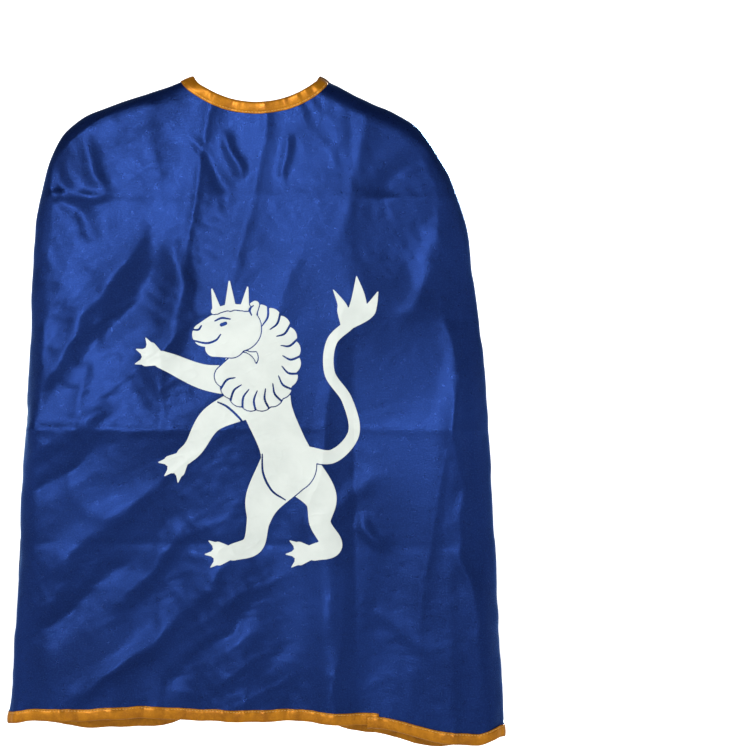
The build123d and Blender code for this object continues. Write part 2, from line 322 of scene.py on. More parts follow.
def pressTilt(x, z, xs, zs, seed):
    """Between press folds the cloth lies in slightly tilted leaves: heights at the crossings, straight between."""
    xs = np.array([-300.0, *xs, 300.0])
    zs = np.array([60.0, *zs, -740.0])[::-1]
    heights = np.random.default_rng(seed).uniform(-1, 1, (len(xs), len(zs)))
    i = np.clip(np.searchsorted(xs, x) - 1, 0, len(xs) - 2)
    j = np.clip(np.searchsorted(zs, z) - 1, 0, len(zs) - 2)
    u = np.clip((x - xs[i]) / (xs[i + 1] - xs[i]), 0, 1)
    v = np.clip((z - zs[j]) / (zs[j + 1] - zs[j]), 0, 1)
    low = heights[i, j] * (1 - u) + heights[i + 1, j] * u
    high = heights[i, j + 1] * (1 - u) + heights[i + 1, j + 1] * u
    return low * (1 - v) + high * v


def laidFolds(x, z, laid, seed):
    # each fold is a bell across its own line, dying off towards its ends, with the line led astray by slow noise
    wx = x + 9 * latticeNoise(x, z, 62, seed) + 3 * latticeNoise(x, z, 21, seed + 1)
    wz = z + 9 * latticeNoise(x, z, 62, seed + 2) + 3 * latticeNoise(x, z, 21, seed + 3)
    h = np.zeros(np.shape(x))
    for x0, z0, x1, z1, height, width in laid:
        length = math.hypot(x1 - x0, z1 - z0)
        t = ((wx - x0) * (x1 - x0) + (wz - z0) * (z1 - z0)) / length**2
        across = ((wx - x0) * (z1 - z0) - (wz - z0) * (x1 - x0)) / length
        ends = smooth((t + 0.15) / 0.4) * smooth((1.15 - t) / 0.4)
        lean = across / width + 0.35 * np.tanh(across / width)
        h = h + height * ends * np.exp(-lean * lean)
    return h


def lift(x, z, side):
    """How far the cloth stands off the plain form at a point of the flat cut.

    The sum of the press folds, the tilted leaves, three sets of soft folds, a crumple and the hem's flutes,
    fading to what both sides share at the seam, with the seam itself pulled in.
    """
    x, z = np.asarray(x, float), np.asarray(z, float)
    back = side < 0
    across = folds["acrossBack"] if back else folds["acrossFront"]
    down = folds["downBack"] if back else folds["downFront"]
    seed = 11 if back else 71
    h = folds["tilt"] * pressTilt(x, z, [a for a, _ in across], [d for d, _ in down], seed)
    for place, height in across:
        drift = 3 * latticeNoise(x * 0 + place, z, 90, seed + 1)
        strength = 0.45 + 0.55 * latticeNoise(x * 0 + place, z, 120, seed + 2)
        h = h + height * strength * np.exp(-np.abs(x - place - drift) / folds["pressWidth"])
    for place, height in down:
        drift = 3 * latticeNoise(x, z * 0 + place, 90, seed + 3)
        strength = 0.55 + 0.45 * latticeNoise(x, z * 0 + place, 110, seed + 4)
        h = h + height * strength * np.exp(-np.abs(z - place - drift) / folds["pressWidth"])
    left = smooth((140 - x) / 260) if back else 0.7
    patch = smooth(0.55 + 0.9 * latticeNoise(x, z, 95, seed + 5)) * (0.25 + 0.75 * left)
    h = h + laidFolds(x, z, folds["laidBack"] if back else folds["laidFront"], seed + 12)
    if back:
        h = h - 0.11 * np.maximum(x - folds["awayPast"], 0)
    h = h + folds["softHeight"] * 0.30 * patch * softFolds(x, z, 38, 30, 120, seed + 6)
    h = h + folds["softHeight"] * 0.12 * patch * softFolds(x, z, -52, 17, 70, seed + 7)
    h = h + folds["softHeight"] * 0.45 * softFolds(x, z, 80, 60, 260, seed + 8)
    h = h + folds["crumple"] * (0.35 + patch) * softFolds(x, z, 20, 9, 14, seed + 9)
    lower = smooth((-z - 330) / 340)
    h = h + folds["flute"] * lower * np.sin(x / 21 + 1.6 * latticeNoise(x, z * 0, 60, seed + 10) + z / 240)
    past = pastFlat(x, z)[0]
    shared = 1.3 * latticeNoise(x, z, 46, 5) + 0.7 * latticeNoise(x, z, 17, 6)
    t = smooth((past - quarter + 26) / 22)
    h = h * (1 - t) + shared * t
    seam = np.exp(-((quarter - past) / 2.6) ** 2)
    return h - (1.0 + 0.35 * latticeNoise(x, z, 9, 7)) * seam


def nearestOnEdge(x, z, edge):
    """For each point, how far it is from a curve and how far along the curve the nearest place is."""
    shape = np.shape(x)
    p = np.stack([np.ravel(x), np.ravel(z)], axis=1)
    lengths = np.concatenate([[0], np.cumsum(np.linalg.norm(np.diff(edge, axis=0), axis=1))])
    away = np.empty(len(p))
    along = np.empty(len(p))
    for first in range(0, len(p), 8000):
        part = p[first : first + 8000]
        d = np.hypot(part[:, None, 0] - edge[None, :, 0], part[:, None, 1] - edge[None, :, 1])
        k = d.argmin(axis=1)
        away[first : first + 8000] = d[np.arange(len(part)), k]
        along[first : first + 8000] = lengths[k]
    return away.reshape(shape), along.reshape(shape)


def puckers(away, along, seed, height=0.75, reach=13.0):
    """Small gathers that run square to a sewn edge: noise along the edge that dies away into the cloth."""
    wave = latticeNoise(along, along * 0, 5.5, seed) + 0.7 * latticeNoise(along, along * 0 + 200, 11.0, seed + 1)
    grow = latticeNoise(along, along * 0 + 90, 40.0, seed + 2)
    return height * wave * np.exp(-away / (reach * (1 + 0.5 * grow)))


# how the hanging cape differs from its flat cut: the hem's own line, and a lean of the shoulders to the left
sag = {"hemRise": 9.0, "leftRise": 4.0, "rightDrop": 23.0, "cornerRise": 8.0, "frontDrop": 12.0,
       "leftOut": 4.5, "shoulderOut": 15.0, "rightIn": 9.0, "rightOut": 4.5}


def hemDrop(x, side):
    # how far the hem runs off its cut line: a slow wave, a longer right side that turns up at its corner,
    # and fronts that hang a little lower than the back between the side seams
    wave = 2.0 * latticeNoise(x, x * 0, 55, 31) + 0.9 * latticeNoise(x, x * 0, 19, 32)
    left = sag["leftRise"] * smooth((20 - x) / 150) * smooth((x + 262) / 40)
    right = -sag["rightDrop"] * smooth((x - 100) / 110) + sag["cornerRise"] * smooth((x - 224) / 30)
    front = -sag["frontDrop"] * smooth((250 - np.abs(x)) / 90) if side > 0 else 0
    return sag["hemRise"] + wave + left + right + front


def hang(points, x, z, side):
    # lowers the bottom part of the cape to its hem's own line, and moves its outer parts sideways, none at the neck
    share = smooth((-z - 420) / (-cape["hem"] - 420))
    outer = smooth((np.abs(x) - 58 - 66 * smooth((-z - 60) / 110)) / 75)
    leftOut = sag["leftOut"] + sag["shoulderOut"] * np.exp(-(((z + 35) / 75) ** 2))
    rightOut = sag["rightOut"] - (sag["rightIn"] + sag["rightOut"]) * (1 - smooth((-z - 110) / 220))
    moved = points.copy()
    moved[..., 0] += outer * np.where(x < 0, -leftOut, rightOut)
    moved[..., 2] += share * hemDrop(np.clip(x, -264, 264), side)
    return moved


# ---------------------------------------------------------------- making meshes


def makeMesh(name, points, faces, material, smoothFaces=True, weld=False):
    """A mesh from points in millimetres and a list of faces."""
    mesh = bpy.data.meshes.new(name)
    mesh.from_pydata((np.asarray(points, float) * 0.001).tolist(), [], np.asarray(faces).tolist())
    if weld:
        bm = bmesh.new()
        bm.from_mesh(mesh)
        bmesh.ops.remove_doubles(bm, verts=bm.verts, dist=2e-6)
        bmesh.ops.dissolve_degenerate(bm, edges=bm.edges, dist=1e-7)
        bmesh.ops.recalc_face_normals(bm, faces=bm.faces)
        bm.to_mesh(mesh)
        bm.free()
    mesh.polygons.foreach_set("use_smooth", [smoothFaces] * len(mesh.polygons))
    mesh.materials.append(material)
    piece = bpy.data.objects.new(name, mesh)
    bpy.context.scene.collection.objects.link(piece)
    return piece


def makeMeshFromLists(name, points, faces, material):
    mesh = bpy.data.meshes.new(name)
    mesh.from_pydata((points * 0.001).tolist(), [], faces)
    mesh.polygons.foreach_set("use_smooth", [True] * len(mesh.polygons))
    bm = bmesh.new()
    bm.from_mesh(mesh)
    bmesh.ops.recalc_face_normals(bm, faces=bm.faces)
    bm.to_mesh(mesh)
    bm.free()
    mesh.materials.append(material)
    piece = bpy.data.objects.new(name, mesh)
    bpy.context.scene.collection.objects.link(piece)
    return piece


def gridFaces(rows, columns, flip=False, closed=False):
    """Quads between the neighbouring points of a grid whose points are numbered row by row."""
    i, j = np.meshgrid(np.arange(rows - 1), np.arange(columns if closed else columns - 1), indexing="ij")
    a, b = i * columns + j, i * columns + (j + 1) % columns
    quads = np.stack([a, b, b + columns, a + columns], axis=-1).reshape(-1, 4)
    return quads[:, ::-1] if flip else quads


def setUv(piece, u, v):
    """Gives each vertex its place on the flat cut, in metres, as a UV map."""
    layer = piece.data.uv_layers.new(name="flat")
    index = np.empty(len(piece.data.loops), int)
    piece.data.loops.foreach_get("vertex_index", index)
    uv = np.stack([np.ravel(u), np.ravel(v)], axis=1)[index] * 0.001
    layer.data.foreach_set("uv", uv.ravel().astype(np.float32))


def solidify(piece, thickness, offset=-1.0):
    wall = piece.modifiers.new("thickness", "SOLIDIFY")
    wall.thickness = thickness * 0.001
    wall.offset = offset
    wall.use_even_offset = False


def meshPoints(piece):
    co = np.empty(len(piece.data.vertices) * 3)
    piece.data.vertices.foreach_get("co", co)
    return co.reshape(-1, 3) * 1000


def coonsPatch(top, bottom, left, right):
    """A grid that fills four edges: the two ruled surfaces between facing edges, less the one through the corners."""
    u = np.linspace(0, 1, len(top))[None, :, None]
    v = np.linspace(0, 1, len(left))[:, None, None]
    ruled = top[None] * (1 - v) + bottom[None] * v + left[:, None] * (1 - u) + right[:, None] * u
    corners = (
        top[0] * (1 - u) * (1 - v) + top[-1] * u * (1 - v) + bottom[0] * (1 - u) * v + bottom[-1] * u * v
    )
    return ruled - corners


# ---------------------------------------------------------------- materials


class Sock:
    """A socket that can be added, multiplied and compared: each operator adds a Math node."""

    def __init__(self, paint, socket):
        self.paint, self.socket = paint, socket

    def maths(self, operation, other=None, swap=False, clamp=False):
        values = [self, other] if other is not None else [self]
        values = values[::-1] if swap else values
        return self.paint.node("ShaderNodeMath", {"operation": operation, "use_clamp": clamp}, values)

    def __add__(self, other):
        return self.maths("ADD", other)

    def __radd__(self, other):
        return self.maths("ADD", other, True)

    def __sub__(self, other):
        return self.maths("SUBTRACT", other)

    def __rsub__(self, other):
        return self.maths("SUBTRACT", other, True)

    def __mul__(self, other):
        return self.maths("MULTIPLY", other)

    def __rmul__(self, other):
        return self.maths("MULTIPLY", other, True)

    def __gt__(self, other):
        return self.maths("GREATER_THAN", other)

    def ramp(self, low, high):
        return self.paint.node(
            "ShaderNodeMapRange",
            {"interpolation_type": "SMOOTHSTEP"},
            {"Value": self, "From Min": low, "From Max": high},
        )


class Paint:
    """One material being made: its tree, and one method that adds any node."""

    def __init__(self, name, constants):
        self.material = bpy.data.materials.new(name)
        self.material.use_nodes = True
        self.tree = self.material.node_tree
        self.shader = self.tree.nodes["Principled BSDF"]
        for socket, value in constants.items():
            self.shader.inputs[socket].default_value = value

    def node(self, kind, settings=None, inputs=None, output=0):
        made = self.tree.nodes.new(kind)
        for key, value in (settings or {}).items():
            setattr(made, key, value)
        pairs = inputs.items() if isinstance(inputs, dict) else enumerate(inputs or [])
        for key, value in pairs:
            if isinstance(value, Sock):
                self.tree.links.new(value.socket, made.inputs[key])
            else:
                made.inputs[key].default_value = value
        return Sock(self, made.outputs[output])

    def place(self, uv=False):
        return self.node("ShaderNodeTexCoord", output="UV" if uv else "Object")

    def scaled(self, vector, scale, turn=(0, 0, 0)):
        return self.node("ShaderNodeMapping", {}, {"Vector": vector, "Scale": scale, "Rotation": turn})

    def noise(self, vector, scale, detail=2.0, roughness=0.5):
        return self.node(
            "ShaderNodeTexNoise", {}, {"Vector": vector, "Scale": scale, "Detail": detail, "Roughness": roughness}
        )

    def wave(self, vector, scale, direction="X", distortion=0.0):
        return self.node(
            "ShaderNodeTexWave",
            {"bands_direction": direction},
            {"Vector": vector, "Scale": scale, "Distortion": distortion},
        )

    def mix(self, factor, first, second):
        return self.node("ShaderNodeMix", {"data_type": "RGBA"}, {0: factor, 6: first, 7: second}, output=2)

    def bump(self, height, distance, strength=1.0, normal=None):
        inputs = {"Height": height, "Distance": distance, "Strength": strength}
        if normal is not None:
            inputs["Normal"] = normal
        return self.node("ShaderNodeBump", {}, inputs)

    def feed(self, **sockets):
        for name, value in sockets.items():
            self.tree.links.new(value.socket, self.shader.inputs[name.replace("_", " ")])
        return self.material


satinLook = {
    "deep": (0.0032, 0.0080, 0.062, 1),
    "royal": (0.0064, 0.0174, 0.106, 1),
    # the pale blue is a painted glint, a painted highlight on the satin's grain
    "pale": (0.060, 0.190, 0.480, 1),
    "metallic": 0.74,
    "roughness": (0.27, 0.35),
}


def satin():
    # a cloudy blend of two near blues by noise in the cloth's own map, a painted highlight of pale glint on the highest
    # slubs, a roughness that follows the crumple, and a bump of slub, grain and fine diagonal floats
    p = Paint("royal_satin", {"Metallic": satinLook["metallic"], "Sheen Weight": 0.06, "Sheen Roughness": 0.4,
                              "Sheen Tint": (0.2, 0.4, 1.0, 1), "Specular IOR Level": 0.5,
                              "Specular Tint": (0.25, 0.60, 1.0, 1)})
    uv = p.place(uv=True)
    cloud = p.noise(uv, 7.0, 2.0, 0.5)
    mottle = p.noise(uv, 150.0, 3.0, 0.65)
    grain = p.noise(uv, 620.0, 2.0, 0.6)
    tone = (cloud * 0.7 + mottle * 0.2 + grain * 0.1).ramp(0.30, 0.70)
    colour = p.mix(tone, satinLook["deep"], satinLook["royal"])
    # painted highlight: pale blue glint specks mixed into the colour where the fine grain is high
    colour = p.mix(grain.ramp(0.40, 0.80) * 0.08, colour, satinLook["pale"])
    low, high = satinLook["roughness"]
    rough = mottle.ramp(0.3, 0.7) * (high - low) + low
    floats = p.wave(p.scaled(uv, (1, 1, 1), (0, 0, 0.9)), 900.0)
    normal = p.bump(mottle * 0.4 + grain * 0.6, 0.00026, 1.0)
    normal = p.bump(floats, 0.00006, 0.5, normal)
    return p.feed(Base_Color=colour, Roughness=rough, Normal=normal)


tapeLook = {
    "dark": (0.24, 0.080, 0.002, 1),
    "gold": (0.41, 0.155, 0.004, 1),
    # the light gold is a painted highlight on the tape's grain
    "light": (0.60, 0.28, 0.018, 1),
    "metallic": 0.45,
}


def goldTape(name="gold_tape"):
    # gold floats along the tape in a cloudy blend of darker and brighter gold by noise, with lighter gold flecks on the
    # fine grain as a painted highlight
    p = Paint(name, {"Metallic": tapeLook["metallic"], "Sheen Weight": 0.02, "Sheen Roughness": 0.4,
                     "Sheen Tint": (1.0, 0.85, 0.5, 1), "Specular IOR Level": 0.22})
    place = p.place()
    cloud = p.noise(place, 60.0, 3.0, 0.6)
    grain = p.noise(place, 700.0, 2.0, 0.6)
    tone = (cloud * 0.85 + grain * 0.15).ramp(0.26, 0.68)
    colour = p.mix(tone, tapeLook["dark"], tapeLook["gold"])
    # painted highlight: light gold flecks mixed in where the fine grain is high
    colour = p.mix(grain.ramp(0.52, 0.75) * 0.25, colour, tapeLook["light"])
    rough = cloud.ramp(0.3, 0.7) * 0.14 + 0.32
    normal = p.bump(cloud * 0.6 + grain * 0.4, 0.0003, 0.8)
    return p.feed(Base_Color=colour, Roughness=rough, Normal=normal)


def goldThread():
    p = Paint("gold_thread", {"Roughness": 0.5, "Sheen Weight": 0.3})
    twist = p.wave(p.scaled(p.place(), (1, 1, 1), (0.5, 0.6, 0.3)), 700.0)
    colour = p.mix(twist, (0.42, 0.19, 0.02, 1), (0.78, 0.47, 0.11, 1))
    return p.feed(Base_Color=colour, Normal=p.bump(twist, 0.0001, 0.6))


def whiteFilm():
    # a pressed film: nearly smooth, with the satin's crumple showing through it
    p = Paint("white_film", {"Specular IOR Level": 0.5, "Coat Weight": 0.12, "Coat Roughness": 0.3})
    uv = p.place(uv=True)
    cloud = p.noise(uv, 30.0, 3.0, 0.55)
    grain = p.noise(uv, 420.0, 2.0, 0.6)
    colour = p.mix(cloud.ramp(0.3, 0.7), (0.545, 0.59, 0.555, 1), (0.60, 0.645, 0.605, 1))
    rough = cloud.ramp(0.3, 0.7) * 0.15 + 0.38
    return p.feed(Base_Color=colour, Roughness=rough, Normal=p.bump(cloud * 0.5 + grain * 0.5, 0.0004, 0.5))


def wovenLabel():
    p = Paint("woven_label", {"Sheen Weight": 0.2, "Roughness": 0.7})
    place = p.place()
    warp = p.wave(place, 420.0, "X")
    weft = p.wave(place, 420.0, "Z")
    weave = warp * 0.5 + weft * 0.5
    cloud = p.noise(place, 80.0)
    colour = p.mix(cloud.ramp(0.3, 0.7) * 0.6 + weave * 0.3, (0.42, 0.41, 0.37, 1), (0.58, 0.57, 0.52, 1))
    return p.feed(Base_Color=colour, Normal=p.bump(weave, 0.00015, 0.7))


def nylonPile(name, dark, light):
    p = Paint(name, {"Sheen Weight": 0.4, "Roughness": 0.65})
    fuzz = p.noise(p.place(), 900.0, 2.0, 0.7)
    colour = p.mix(fuzz.ramp(0.35, 0.65), dark, light)
    return p.feed(Base_Color=colour, Normal=p.bump(fuzz, 0.0004, 0.8))


def paleFloor():
    # matt and pale, and glowing softly further than an arm's length from the cape, so that its far parts are white
    p = Paint("pale_floor", {"Roughness": 0.9, "Base Color": (0.86, 0.86, 0.86, 1), "Emission Strength": 0.85})
    away = p.node("ShaderNodeVectorMath", {"operation": "LENGTH"}, [p.place()], output=1)
    glow = p.mix(away.ramp(1.1, 2.6), (0.12, 0.12, 0.12, 1), (1, 1, 1, 1))
    return p.feed(Emission_Color=glow)


blue = satin()
gold = goldTape()
thread = goldThread()
film = whiteFilm()
labelCloth = wovenLabel()
hookPile = nylonPile("hook_nylon", (0.40, 0.22, 0.05, 1), (0.66, 0.42, 0.12, 1))
loopPile = nylonPile("loop_nylon", (0.46, 0.26, 0.06, 1), (0.74, 0.48, 0.15, 1))
print("materials made")

# ---------------------------------------------------------------- camera, floor and light

shot = {"across": 0.778, "distance": 3.0, "centreX": 0.123, "centreZ": -0.310}

cameraData = bpy.data.cameras.new("camera")
cameraData.sensor_width = 36
cameraData.lens = 36 * shot["distance"] / shot["across"]
camera = bpy.data.objects.new("camera", cameraData)
camera.location = (shot["centreX"], backLow.y - shot["distance"], shot["centreZ"])
camera.rotation_euler = (math.pi / 2, 0, 0)
bpy.context.scene.collection.objects.link(camera)
bpy.context.scene.camera = camera


def softBox(name, place, target, size, power, colour=(1, 1, 1)):
    light = bpy.data.lights.new(name, "AREA")
    light.shape = "RECTANGLE"
    light.size, light.size_y = size
    light.energy = power
    light.color = colour
    lamp = bpy.data.objects.new(name, light)
    lamp.location = place
    way = np.array(target) - np.array(place)
    lamp.visible_camera = False
    lamp.rotation_euler = Vector(way).to_track_quat("-Z", "Y").to_euler()
    bpy.context.scene.collection.objects.link(lamp)
    return lamp


def paleStage():
    # the floor is one wide round sheet that turns up into a low wall far away on every side
    turnAt, turnRadius, wallTop, floorDrop = 7.6, 1.4, 2.7, 0.90
    r = np.concatenate([np.linspace(0.02, turnAt, 30), np.linspace(turnAt, turnAt + turnRadius, 24)[1:]])
    past = np.maximum(r - turnAt, 0)
    rise = turnRadius - np.sqrt(np.maximum(turnRadius**2 - past**2, 0))
    r, rise = np.append(r, r[-1]), np.append(rise, wallTop)
    a = np.linspace(0, 2 * math.pi, 96, endpoint=False)
    points = np.stack([
        r[:, None] * np.cos(a)[None, :],
        r[:, None] * np.sin(a)[None, :],
        (rise - floorDrop)[:, None] + 0 * a[None, :],
    ], axis=-1)
    faces = gridFaces(len(r), len(a), closed=True).tolist() + [list(range(len(a)))]
    floor = makeMeshFromLists("stage_floor", points.reshape(-1, 3) * 1000, faces, paleFloor())


paleStage()
world = bpy.data.worlds.new("studio")
world.use_nodes = True
world.node_tree.nodes["Background"].inputs["Color"].default_value = (1, 1, 1, 1)
world.node_tree.nodes["Background"].inputs["Strength"].default_value = 0.16
bpy.context.scene.world = world
middle = (0, 0, -0.34)
softBox("key", (-0.86, -2.10, 0.56), middle, (0.40, 0.50), 35)
softBox("fill", (1.9, -1.6, 0.3), middle, (1.2, 1.2), 1.6)
softBox("front", (0.80, 2.25, 0.42), middle, (0.45, 0.55), 62)
bpy.context.scene.view_settings.view_transform = "Standard"
print("stage set")

# ---------------------------------------------------------------- the cape's own surface

tape = {"width": 12.0, "stitchAt": 10.3, "stitchStep": 3.1, "stitchLength": 2.3, "step": 1.6, "wall": 0.35}

necklineEdge = runEvenly(necklineCurve(), 190)
frontEdge = frontEdgeCurve()
frontPath = np.concatenate([frontEdge["edge"], frontEdge["corner"][1:], frontEdge["hem"][1:]])
frontPath = runEvenly(frontPath, 1 + int(np.linalg.norm(np.diff(frontPath, axis=0), axis=1).sum() / tape["step"]))
sideAtHem = sideCurve(cape["hem"])[-1][0]


def surface(x, z, side, above=0.0):
    # a place on the cape: the flat cut lifted by its folds and by the gathers at its bound edges,
    # wrapped on to the hanging form, and lowered with the hem's line
    x, z = np.broadcast_arrays(np.asarray(x, float), np.asarray(z, float))
    h = lift(x, z, side)
    fromHem = np.maximum(z - cape["hem"] - tape["width"], 0)
    if side < 0:
        away, along = nearestOnEdge(x, z, necklineEdge)
        h = h + puckers(np.maximum(away - tape["width"], 0), along, 21, 0.9, 12)
        h = h + puckers(fromHem, x, 22, 0.8, 11)
    else:
        away, along = nearestOnEdge(np.abs(x), z, frontPath)
        h = h + puckers(np.maximum(away - tape["width"], 0), along + np.where(x < 0, 900, 0), 24, 1.5, 24)
    return hang(wrap(x, z, side, h + above), x, z, side)


foldTop = np.array([cape["neckHalf"] - (cape["neckHalf"] - cape["chestHalf"]) * cape["foldDrop"] / cape["chestDrop"],
                    -cape["foldDrop"]])
foldWay = unit(np.array([cape["foldHalf"], cape["hem"]]) - foldTop)
foldIn = np.array([foldWay[1], -foldWay[0]])  # across the fold line, towards the front edge


def bendAtFold(piece):
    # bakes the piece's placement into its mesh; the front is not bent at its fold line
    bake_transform(piece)


def clothSheet(name, grid, side, mirror=1):
    x, z = grid[..., 0] * mirror, grid[..., 1]
    points = surface(x, z, side)
    faces = gridFaces(*x.shape, flip=side * mirror < 0)
    piece = makeMesh(name, points.reshape(-1, 3), faces, blue)
    setUv(piece, x, z)
    solidify(piece, cape["cloth"])
    return piece


def backGrid():
    arm = runEvenly(shoulderCurve(), 62)
    neck = runEvenly(necklineCurve(0.9), 46)
    top = np.concatenate([flipped(arm)[::-1], neck[1:-1], arm])
    right = runEvenly(sideCurve(cape["hem"] + 0.9), 226)
    bottom = runEvenly(np.array([flipped(right)[-1], right[-1]]), len(top))
    return coonsPatch(top, bottom, flipped(right), right)


def frontGrid():
    top = runEvenly(shoulderCurve(), 62)
    right = runEvenly(sideCurve(cape["hem"] + 0.9), 214)
    inset = np.array([0.9, 0.0])
    left = runEvenly(frontEdge["edge"] + inset, 214)
    left[0] = top[0]
    corner = frontEdge["corner"] + inset * np.linspace(1, 0, len(frontEdge["corner"]))[:, None]
    corner[:, 1] += 0.9 * np.linspace(0, 1, len(corner))
    bottom = runEvenly(np.concatenate([corner, right[-1:]]), 62)
    return coonsPatch(top, bottom, left, right)


def flatArea(grid):
    # the area of the flat cut: half the cross product of each cell's diagonals, summed
    a, b = grid[1:, 1:] - grid[:-1, :-1], grid[1:, :-1] - grid[:-1, 1:]
    return float(np.abs(a[..., 0] * b[..., 1] - a[..., 1] * b[..., 0]).sum() / 2) * 1e-6


def declareCloth(grid):
    low, high = grid.reshape(-1, 2).min(axis=0), grid.reshape(-1, 2).max(axis=0)
    width, length = (high - low) * 0.001
    flatArea(grid)


grid = backGrid()
back = clothSheet("back_cloth", grid, -1)
declareCloth(grid)
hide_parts("back_panel")
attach(back, "root")
grid = frontGrid()
for mirror, hand in ((1, "right"), (-1, "left")):
    front = clothSheet(hand + "_front_cloth", grid, 1, mirror)
    declareCloth(grid)
    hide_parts(hand + "_front_side", hand + "_front_panel")
    bendAtFold(front)
print("satin cut and hung")

# ---------------------------------------------------------------- bias tape and its stitches

# the folded tape across its width: how far each point is inside the finished edge, and its height over the cloth
tapeProfile = np.array([
    (12.0, 0.28), (11.7, 0.62), (11.1, 0.70), (10.3, 0.50), (9.4, 0.92), (7.6, 1.12), (5.2, 1.20), (2.8, 1.16),
    (1.0, 0.95), (0.1, 0.50), (-0.3, -0.10), (-0.3, -0.60), (0.1, -1.10), (1.0, -1.45), (2.8, -1.65),
    (5.2, -1.68), (7.6, -1.60), (9.4, -1.45), (10.3, -1.10), (11.1, -1.25), (11.7, -1.20), (12.0, -0.90),
])


def pathFrame(path, turnLeft):
    # unit vectors along a path and across it, into the cloth
    way = np.gradient(path, axis=0)
    kernel = np.ones(7) / 7
    padded = np.pad(way, ((3, 3), (0, 0)), mode="edge")
    way = unit(np.stack([np.convolve(padded[:, k], kernel, "valid") for k in range(2)], axis=1))
    across = np.stack([-way[:, 1], way[:, 0]], axis=1) * (1 if turnLeft else -1)
    return way, across


def pathLength(path):
    return np.concatenate([[0], np.cumsum(np.linalg.norm(np.diff(path, axis=0), axis=1))])


def faceOutwards(piece, side, columns):
    # the outer half of a folded strip has to look away from the cape; turn every face round if it doesn't
    normals = np.empty(len(piece.data.polygons) * 3)
    piece.data.polygons.foreach_get("normal", normals)
    outer = normals.reshape(-1, columns, 3)[:, 2:8, 1]
    if outer.mean() * side < 0:
        piece.data.flip_normals()


def tapeStrip(name, path, turnLeft, side, seed, over=0.0, mirror=1):
    # the folded profile carried along the edge, with small gathers that are strongest beside the stitches
    path = runEvenly(path, 2 + int(pathLength(path)[-1] / tape["step"]))
    along = pathLength(path)
    _, across = pathFrame(path, turnLeft)
    inside, height = tapeProfile[:, 0], tapeProfile[:, 1]
    edgeWander = 0.35 * latticeNoise(along, along * 0, 26, seed) + 0.2 * latticeNoise(along, along * 0, 6, seed + 1)
    w = inside[None, :] + edgeWander[:, None] * (inside[None, :] > 6)
    gather = latticeNoise(along, along * 0, 4.6, seed + 2) + 0.8 * latticeNoise(along, along * 0, 9.0, seed + 3)
    share = np.clip(inside / 12, 0, 1) ** 0.7 * np.where(inside > 11.5, 0.5, 1.0)
    h = height[None, :] + (0.26 * gather)[:, None] * (share * np.sign(height))[None, :]
    slant = latticeNoise(along[:, None] + 2.2 * w, w * 0.5, 7.0, seed + 4)
    h = h + 0.16 * slant * np.sign(height)[None, :]
    h = h + over * np.where(height > 0, 1.0, -0.4)[None, :]
    x = path[:, None, 0] + across[:, None, 0] * w
    z = path[:, None, 1] + across[:, None, 1] * w
    points = surface(x * mirror, z, side, h)
    piece = makeMesh(name, points.reshape(-1, 3), gridFaces(*x.shape), gold)
    faceOutwards(piece, side, len(inside) - 1)
    setUv(piece, along[:, None] + w * 0, w)
    solidify(piece, tape["wall"], 0.0)
    return piece


def threadShape(sides=6):
    # one stitch: rings along it whose radius follows a rounded bar, its ends tucked down into the cloth
    stations = np.array([-1.0, -0.86, -0.45, 0.0, 0.45, 0.86, 1.0])
    radius = np.array([0.35, 0.8, 1.0, 1.0, 1.0, 0.8, 0.35])
    tuck = np.array([-0.9, -0.4, 0.0, 0.1, 0.0, -0.4, -0.9])
    a = np.linspace(0, 2 * math.pi, sides, endpoint=False)
    along = np.repeat(stations, sides)
    across = (radius[:, None] * np.cos(a)).ravel()
    up = (radius[:, None] * np.sin(a) + tuck[:, None]).ravel()
    faces = gridFaces(len(stations), sides, closed=True).tolist()
    faces.append(list(range(sides)))
    faces.append(list(range(len(along) - 1, len(along) - 1 - sides, -1)))
    return along, across, up, faces


def stitches(name, first, last, up, radius, material):
    # one thread shape for each pair of end points, its length between them and its top along up
    along, across, high, faces = threadShape()
    way = last - first
    middle = (first + last) / 2
    wayUnit, upUnit = unit(way), unit(up)
    sideways = unit(np.cross(wayUnit, upUnit))
    points = (
        middle[:, None]
        + way[:, None] * (along / 2)[None, :, None]
        + sideways[:, None] * (across * radius)[None, :, None]
        + upUnit[:, None] * (high * radius)[None, :, None]
    )
    count = len(along)
    every = []
    for face in faces:
        every.append(np.array(face)[None, :] + (np.arange(len(first)) * count)[:, None])
    lists = [row for block in every for row in block.tolist()]
    return makeMeshFromLists(name, points.reshape(-1, 3), lists, material)


def tapeStitches(name, path, turnLeft, side, over=0.0, mirror=1):
    # a running row at one distance inside the edge, on the outer face and again on the inner face
    total = pathLength(path)[-1]
    dense = runEvenly(path, 2 + int(total / 0.5))
    _, across = pathFrame(dense, turnLeft)
    along = pathLength(dense)
    centres = np.arange(2.0, total - 2.0, tape["stitchStep"])
    rows = []
    for above, facing in ((0.50 + 0.32 + over, 1), (-1.10 - 0.32 - over * 0.4, -1)):
        ends = []
        for reach in (-0.5, 0.5):
            s = centres + reach * tape["stitchLength"]
            x = np.interp(s, along, dense[:, 0] + across[:, 0] * tape["stitchAt"])
            z = np.interp(s, along, dense[:, 1] + across[:, 1] * tape["stitchAt"])
            ends.append((surface(x * mirror, z, side, above), surface(x * mirror, z, side, above + facing)))
        rows.append((ends[0][0], ends[1][0], ends[0][1] - ends[0][0]))
    first, last, up = (np.concatenate([row[k] for row in rows]) for k in range(3))
    piece = stitches(name, first, last, up, 0.27, thread)
    return piece


neckTape = tapeStrip("neck_tape", necklineCurve(), False, -1, 300)
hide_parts("neck_binding")
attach(neckTape, "root")
neckRow = tapeStitches("neck_stitches", necklineCurve(), False, -1)
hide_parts("neck_stitching")
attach(neckRow, "root")

